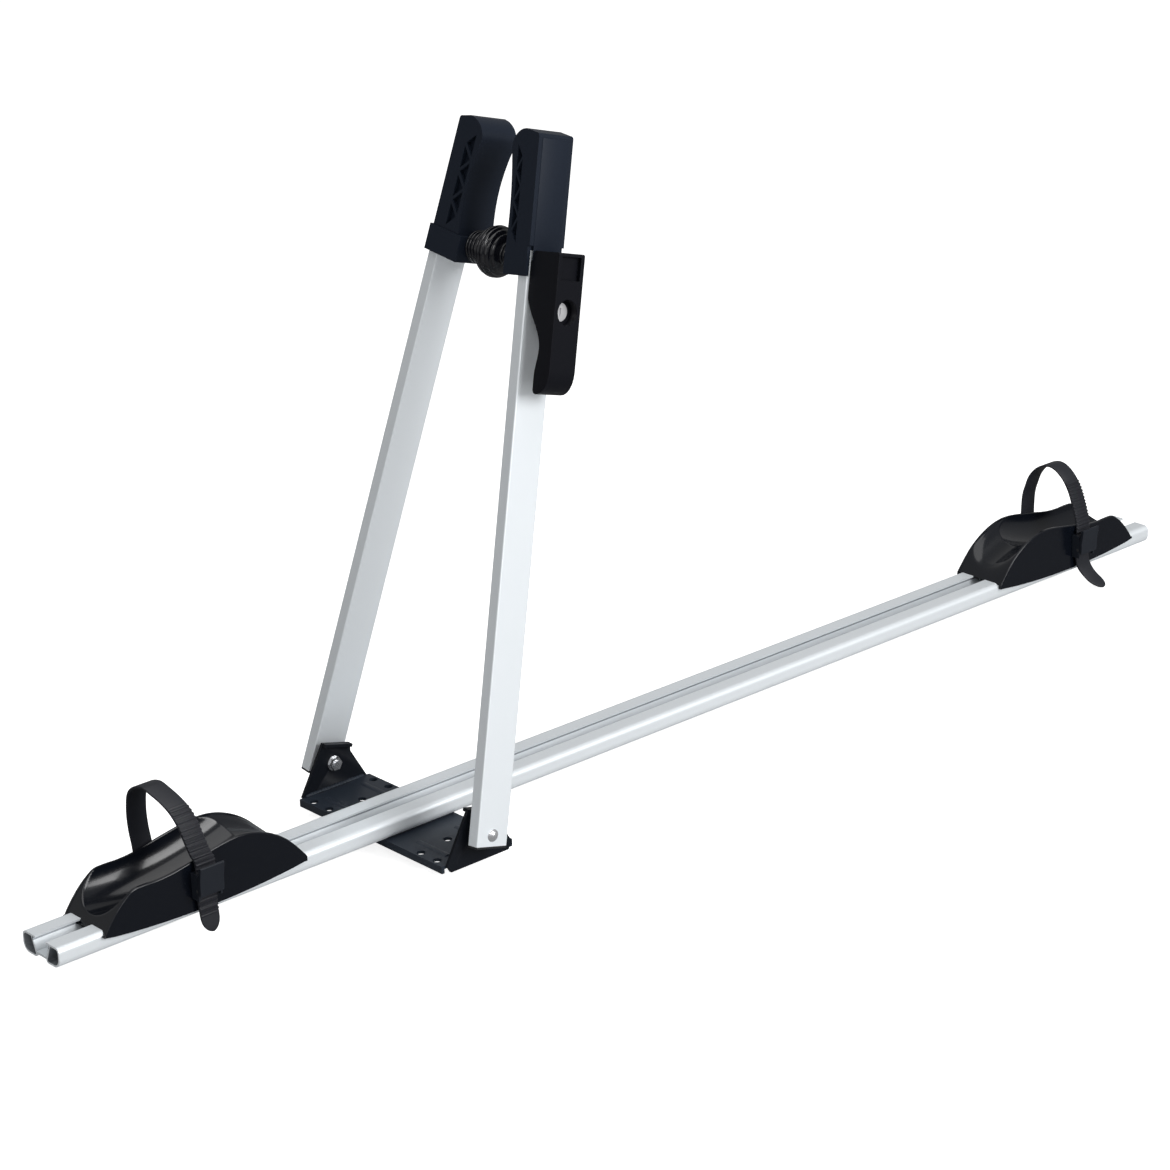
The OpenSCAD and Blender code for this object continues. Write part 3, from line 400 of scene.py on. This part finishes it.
def trayRows():
    # sections across the tray: skirt, side, rounded ridge, scoop wall, scoop, and the same mirrored
    path = smoothPath(tray["ridge"], 14)
    x, ridge = path[:, 0:1], path[:, 1:2]
    angle = np.radians(np.linspace(0, 90, 22))[None, :]
    across = tray["scoop"] * np.sin(angle)
    reach = tray["wheel"] - tray["scoop"] + np.sqrt(np.clip(tray["scoop"]**2 - across**2, 0, None))
    dish = tray["floor"] + tray["wheel"] - np.sqrt(reach**2 - (x - tray["lowest"])**2)
    ridge = np.maximum(ridge, traySkirt(x) + 1.5)
    hood = softMin(hoodTop(x, across), ridge + 0 * across, 15.0)
    scoopZ = softMin(softMin(dish, hood, 2.0), ridge + 0 * dish, tray["rimSoft"] * 2)
    wallTop = np.maximum(ridge - dish[:, -1:], 0)
    rise = np.linspace(0, 1, 6)[None, 1:]
    drop = np.minimum(tray["round"], wallTop)
    wallZ = scoopZ[:, -1:] + (ridge - drop - scoopZ[:, -1:]) * rise
    wallZ = np.where(wallTop > 0.01, wallZ, ridge + 0 * rise)
    outer = trayHalf(ridge)
    crown = np.radians(np.linspace(0, 90, 7))[None, :]
    lip = np.minimum(tray["round"], (outer - tray["scoop"]) * 0.5)
    innerY = tray["scoop"] + lip * (1 - np.cos(crown))
    innerZ = ridge - drop + drop * np.sin(crown)
    outerY = outer - lip + lip * np.sin(crown)
    outerZ = ridge - lip + lip * np.cos(crown)
    foot = traySkirt(x)
    sideZ = outerZ[:, -1:] + (foot - outerZ[:, -1:]) * np.linspace(0, 1, 9)[None, 1:]
    sideY = trayHalf(sideZ) * (outer / trayHalf(ridge))
    inset = np.minimum(tray["railGap"], sideY[:, -1:] - 0.6)
    under = np.maximum(foot, np.minimum(0.3, ridge - 1))
    halfY = np.hstack([across + 0 * x, tray["scoop"] + 0 * wallZ, innerY, outerY, sideY, inset, inset, 0 * x])
    halfZ = np.hstack([scoopZ, wallZ, innerZ, outerZ, sideZ, foot, under, under])
    topped = scoopZ.shape[1] + wallZ.shape[1] + innerZ.shape[1] + outerZ.shape[1]
    halfZ[:, :topped] = np.minimum(halfZ[:, :topped], np.maximum(hoodTop(x, halfY[:, :topped]), 0.6))
    y = np.hstack([halfY, -halfY[:, -2:0:-1]])
    z = np.hstack([halfZ, halfZ[:, -2:0:-1]])
    return np.stack([x + 0 * y, y, z], axis=-1)


def placeOnRail(rows, end):
    # tray coordinates to the rail's, mirrored along the rail for the front tray
    start, sense = trayPlace[end]
    return (rows * [sense, 1, 1] + [start, 0, railTop]) * mm


# Straps: the route of each one is [along the tray, across the rail, up from the rail's top]
strap = {
    "wide": 20,
    "thick": 2.2,
    "at": 118,
    "loop": {"front": 97, "rear": 93},
    "anchor": {"front": 126, "rear": 112},
    "buckle": {"front": 109.5, "rear": 124.5},
    "toothPitch": 3.7,
    "toothHigh": 1.1,
    "toothed": {"front": (0.53, 15), "rear": (0.5, 46)},   # from this share of the length to this short of its end
    "edge": 0.7,
}


def strapRoute(end):
    at, top, low, start = strap["at"], strap["loop"][end], strap["buckle"][end], strap["anchor"][end]
    anchor = trayHalf(12) + strap["thick"] / 2 + 0.1
    inward = trayHalf(0) + 3.4
    fixed = [(start, trayHalf(4) + strap["thick"] / 2 + 0.1, 4), (start, anchor, 12)]
    if end == "front":
        return fixed + [
            (start + 1, anchor + 0.6, 33), (start + 3, anchor + 0.8, top - 49), (at + 13.5, 29.5, top - 31),
            (at + 15, 24.5, top - 12), (at + 15, 16, top - 2.5), (at + 12.5, 6, top), (at + 10, -3, top - 4),
            (at + 6, -11, top - 10.8), (at + 2.6, -18, top - 19), (at - 0.3, -24, top - 30), (at - 2.5, -28.5, top - 43),
            (at - 5.5, -31.8, top - 56), (at - 8.5, -32.9, 34), (low, -inward, 26), (low, -inward, 12),
            (low, -inward, -2), (low - 0.5, -inward - 0.5, -12), (low - 1, -inward - 2, -22), (low - 1.5, -inward - 4, -31.5),
        ]
    return fixed + [
        (start, anchor + 0.6, 35), (start + 1, anchor + 0.4, top - 38), (start + 2, 28.5, top - 25),
        (start + 4, 25, top - 14), (start + 6, 17, top - 4.5), (at + 2.5, 7, top), (at + 6, -1, top - 2.5),
        (at + 10, -9, top - 12), (at + 13, -15, top - 25), (at + 13, -21, top - 39), (at + 11, -26.5, top - 49),
        (at + 8.5, -31, top - 58), (low, -inward, 26), (low, -inward, 12), (low, -inward, -2),
        (low + 2.5, -inward - 2, -13), (low + 8, -inward - 8, -24), (low + 14.7, -inward - 18.6, -34.5),
    ]


def strapRows(end):
    # a flat section carried along the route; one face has teeth, the tail ends in a tongue
    path = smoothPath(strapRoute(end), 26)
    step = np.gradient(path, axis=0)
    length = np.concatenate([[0], np.cumsum(np.linalg.norm(np.diff(path, axis=0), axis=1))])
    total = length[-1]
    fine = np.linspace(0, total, int(total / 0.35))
    path = np.stack([np.interp(fine, length, path[:, k]) for k in range(3)], axis=-1)
    step = np.stack([np.interp(fine, length, step[:, k]) for k in range(3)], axis=-1)
    out = np.stack([0 * fine, step[:, 2], -step[:, 1]], axis=-1)
    out /= np.linalg.norm(out, axis=1, keepdims=True)
    left = total - fine
    share, short = strap["toothed"][end]
    toothed = np.clip((fine - share * total) / 2, 0, 1) * np.clip((left - short) / 2, 0, 1)
    wave = np.clip(0.5 + 0.9 * np.sin(2 * np.pi * fine / strap["toothPitch"]), 0, 1)
    tooth = strap["toothHigh"] * toothed * wave
    tongue = 14.0
    half = strap["wide"] / 2 * np.where(left < tongue, np.sqrt(np.clip(1 - (1 - left / tongue)**2, 0.002, 1)), 1)
    half = half - 0.6 * (left < tongue * 2.4) * np.clip((tongue * 2.4 - left) / tongue, 0, 1)
    corner = strap["edge"]
    turn = np.radians(np.array([0, 30, 60, 90]))
    ringX, ringOut = [], []
    for sideX, sideOut, order in ((1, 1, 1), (-1, 1, -1), (-1, -1, 1), (1, -1, -1)):
        for bend in turn[::order]:
            ringX.append((sideX, np.cos(bend)))
            ringOut.append((sideOut, np.sin(bend)))
    columns = []
    for (sideX, shareX), (sideOut, shareOut) in zip(ringX, ringOut):
        wide = sideX * (half - corner + corner * shareX)
        thick = strap["thick"] / 2 + tooth * (sideOut > 0)
        rise = sideOut * (thick - corner + corner * shareOut)
        columns.append(path + out * rise[:, None] + np.array([1, 0, 0]) * wide[:, None])
    return np.stack(columns, axis=1)


for end in ("front", "rear"):
    body = bodyOf[end + "_tray"]
    shell = gridMesh(end + "TrayShell", placeOnRail(trayRows(), end))
    addPiece(end + "TrayShell", shell, body, "trayBlack", (end + "_tray",), 55)
    band = gridMesh(end + "ToothedStrap", placeOnRail(strapRows(end), end))
    addPiece(end + "ToothedStrap", band, body, "strapBlack", (end + "_strap",), 40)
print("trays and straps shaped")


# Arms' own frame: u along the rail, v inward from the arm's middle, w along the arm from its pivot
pivot = {"y": 116, "z": 26.7}


def armPoint(side, points):
    # arm coordinates to the model's, by the arm's tilt across the rail and the frame's lean along it
    points = np.asarray(points, float)
    u, v, w = points[..., 0], points[..., 1], points[..., 2]
    y = side * (pivot["y"] - v * math.cos(tilt) - w * math.sin(tilt))
    z = -v * math.sin(tilt) + w * math.cos(tilt)
    x = u * math.cos(lean) + z * math.sin(lean)
    upward = pivot["z"] - u * math.sin(lean) + z * math.cos(lean)
    return np.stack([x, y, upward], axis=-1) * mm


clampRod = {"camAt": 493, "camOut": 24, "openTravel": 3, "earMid": 101.5, "footNear": 22, "footFar": 34}
camY = -pivot["y"] + clampRod["camAt"] * math.sin(tilt) - clampRod["camOut"] * math.cos(tilt)
camZ = clampRod["camAt"] * math.cos(tilt) + clampRod["camOut"] * math.sin(tilt)
rodDrop = math.atan((camY + clampRod["earMid"]) / camZ) - math.radians(clampRod["openTravel"]) / 2
nearFace = (clampRod["footNear"] + clampRod["camOut"]) / math.cos(tilt - rodDrop)
farFace = (pivot["y"] - clampRod["camAt"] * math.sin(tilt) - clampRod["footFar"] * math.cos(tilt) - camY) / math.cos(rodDrop)


def rodPoint(around, outward, along):
    # cylinder coordinates about the clamp rod, measured along it from the cross pin
    x = outward * np.cos(around)
    across = outward * np.sin(around)
    y = camY + along * math.cos(rodDrop) + across * math.sin(rodDrop)
    z = camZ - along * math.sin(rodDrop) + across * math.cos(rodDrop)
    forward = x * math.cos(lean) + z * math.sin(lean)
    upward = pivot["z"] - x * math.sin(lean) + z * math.cos(lean)
    return np.stack([forward, y, upward], axis=-1) * mm


bellows = {"neck": 12, "ball": 23, "sleeve": 15, "folds": 14, "fold": 1.9, "wall": 1.4}


def bellowsRows():
    # a round envelope of neck, ball and sleeve, with a wave for the folds, turned about the rod
    def swell(t):
        return np.where(np.abs(t) < 1, np.cos(np.pi / 2 * np.clip(t, -1, 1))**0.7, 0)
    t = np.linspace(0, 1, 30 * bellows["folds"])
    envelope = bellows["neck"] + (bellows["ball"] - bellows["neck"]) * swell((t - 0.52) / 0.24)
    envelope = envelope + np.where(t > 0.72, (bellows["sleeve"] - bellows["neck"]) * swell((t - 0.88) / 0.2), 0)
    fold = bellows["fold"] * (0.5 + 0.5 * np.cos(2 * np.pi * bellows["folds"] * t))**2
    outside = envelope - fold
    along = nearFace + 0.35 + (farFace - nearFace - 0.35) * t
    outward = np.concatenate([outside, outside[::-1] - bellows["wall"]])
    along = np.concatenate([along, along[::-1]])
    around = np.linspace(0, 2 * np.pi, 72, endpoint=False)
    return rodPoint(around[None, :], outward[:, None], along[:, None] + 0 * around[None, :])


rows = bellowsRows()
boot = gridMesh("rubberBoot", np.concatenate([rows, rows[:1]]), capEnds=False)
bootPiece = addPiece("rubberBoot", boot, None, "rubber", ("bellows",), 60)
bootEnds = [tuple(map(float, rodPoint(0, 0, place))) for place in (farFace - 4, nearFace + 4)]
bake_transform(bootPiece)
print("bellows shaped")

# Pressed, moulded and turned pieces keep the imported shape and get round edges
for name, node, width in (
    ("farJawMoulding", "far_jaw", 1.6),
    ("nearJawMoulding", "near_jaw", 1.6),
    ("leverMoulding", "cam_lever", 1.4),
    ("pressedPlate", "base_plate", 0.7),
    ("farEarPlate", "far_ear", 0.6),
    ("nearEarPlate", "near_ear", 0.6),
    ("farArmFoot", "far_arm_cap", 0.5),
    ("nearArmFoot", "near_arm_cap", 0.5),
    ("frontBuckleBody", "front_buckle", 0.6),
    ("rearBuckleBody", "rear_buckle", 0.6),
    ("frontBuckleFlap", "front_buckle_tab", 0.8),
    ("rearBuckleFlap", "rear_buckle_tab", 0.8),
):
    softenEdges(name, node, width * mm)
print("edges rounded")

# Weld beads along the foot of each ear, a row of overlapping ripples half sunk in the plate
weld = {"from": -34, "to": 34, "inFace": 100, "plateTop": 3, "radius": 1.9, "ripple": 3.1}


def weldRows(side):
    x = np.linspace(weld["from"], weld["to"], 240)[:, None]
    around = np.linspace(0, 2 * np.pi, 14, endpoint=False)[None, :]
    swell = 0.32 * np.abs(np.sin(np.pi * x / weld["ripple"])) + 0.16 * np.sin(x * 0.43) + 0.1 * np.sin(x * 1.31)
    ends = np.sqrt(np.clip(1 - (np.abs(x) / (weld["to"] + 0.2))**14, 0.01, 1))
    outward = (weld["radius"] + swell) * ends
    y = side * (weld["inFace"] - 0.5) + outward * np.cos(around)
    z = weld["plateTop"] + 0.4 + outward * np.sin(around)
    return np.stack([x + 0 * around, y, z], axis=-1) * mm


for side, ear in ((1, "far_ear"), (-1, "near_ear")):
    bead = gridMesh(ear[:-4] + "WeldBead", weldRows(side))
    addPiece(ear[:-4] + "WeldBead", bead, bodyOf[ear], "bracketBlack", (), 80)

# A thin raised panel on the near jaw's outer face
panel = {"half": 15.5, "face": -8.5, "proud": 0.45, "low": 496, "high": 600}
corners = [(u, v, w) for u in (-panel["half"], panel["half"]) for v in (panel["face"] + 0.3, panel["face"] - panel["proud"])
           for w in (panel["low"], panel["high"])]
panelMesh = bpy.data.meshes.new("jawPanel")
panelFaces = [(0, 1, 3, 2), (4, 6, 7, 5), (0, 4, 5, 1), (2, 3, 7, 6), (0, 2, 6, 4), (1, 5, 7, 3)]
panelMesh.from_pydata(armPoint(-1, corners).tolist(), [], panelFaces)
panelPiece = addPiece("jawPanel", panelMesh, bodyOf["near_jaw"], "jawBlack", (), 180)
panelEdge = panelPiece.modifiers.new("edges", "BEVEL")
panelEdge.width = 0.35 * mm
panelEdge.segments = 2
print("beads and panel added")

# Light: a broad lamp on the lever's side, a soft one above, and a pale room
lamps = {
    "key": {"at": (0.9, -3.2, 1.7), "size": 2.2, "power": 106},
    "above": {"at": (0.1, -0.3, 3.0), "size": 3.0, "power": 40},
    "fill": {"at": (-2.6, -0.6, 1.2), "size": 2.0, "power": 6},
    "edge": {"at": (-1.7, -2.4, 2.1), "size": 1.1, "power": 14},
}
aimPoint = np.array([0.25, 0.0, 0.2])
for name, lamp in lamps.items():
    light = bpy.data.lights.new(name, "AREA")
    light.shape = "DISK"
    light.size = lamp["size"]
    light.energy = lamp["power"]
    holder = bpy.data.objects.new(name, light)
    back = np.array(lamp["at"]) - aimPoint
    back = back / np.linalg.norm(back)
    side = np.cross([0, 0, 1], back)
    side = side / np.linalg.norm(side)
    matrix = np.eye(4)
    matrix[:3, 0], matrix[:3, 1], matrix[:3, 2], matrix[:3, 3] = side, np.cross(back, side), back, lamp["at"]
    holder.matrix_world = Matrix(matrix)
    bpy.context.scene.collection.objects.link(holder)


def whiteRoom():
    # white where the camera, a mirror or glass looks, and a dim even light elsewhere
    world = bpy.data.worlds.new("room")
    bpy.context.scene.world = world
    world.use_nodes = True
    tree = world.node_tree
    tree.nodes.clear()
    start = Wire(tree)
    seen = start.node("ShaderNodeLightPath", {}, {})
    path = seen.socket.node.outputs
    white = Wire(tree, path["Is Camera Ray"]) + Wire(tree, path["Is Transmission Ray"])
    glossy = Wire(tree, path["Is Glossy Ray"])
    strength = 0.15 + 0.85 * white + 0.25 * glossy
    shade = start.node("ShaderNodeBackground", {}, {"Color": (1, 1, 1, 1), "Strength": strength})
    start.node("ShaderNodeOutputWorld", {}, {"Surface": shade})


whiteRoom()


def paleFloor(level):
    # a wide white plane that shows white to the camera and keeps a faint shadow
    size = 12.0
    mesh = bpy.data.meshes.new("floor")
    mesh.from_pydata([(-size, -size, level), (size, -size, level), (size, size, level), (-size, size, level)], [], [(0, 1, 2, 3)])
    plane = bpy.data.objects.new("floor", mesh)
    bpy.context.scene.collection.objects.link(plane)
    material = bpy.data.materials.new("floorWhite")
    material.use_nodes = True
    tree = material.node_tree
    tree.nodes.clear()
    start = Wire(tree)
    seen = start.node("ShaderNodeLightPath", {}, {})
    path = seen.socket.node.outputs
    shown = Wire(tree, path["Is Camera Ray"])
    matt = start.node("ShaderNodeBsdfDiffuse", {}, {"Color": 0.8 - 0.5 * Wire(tree, path["Is Glossy Ray"])})
    glow = start.node("ShaderNodeEmission", {}, {"Color": (1, 1, 1, 1), "Strength": 0.85 * shown})
    both = start.node("ShaderNodeAddShader", {}, {0: matt, 1: glow})
    start.node("ShaderNodeOutputMaterial", {}, {"Surface": both})
    mesh.materials.append(material)


paleFloor(cadBounds[0][2] - 0.002)
bpy.context.scene.view_settings.view_transform = "Standard"
print("light and floor set")
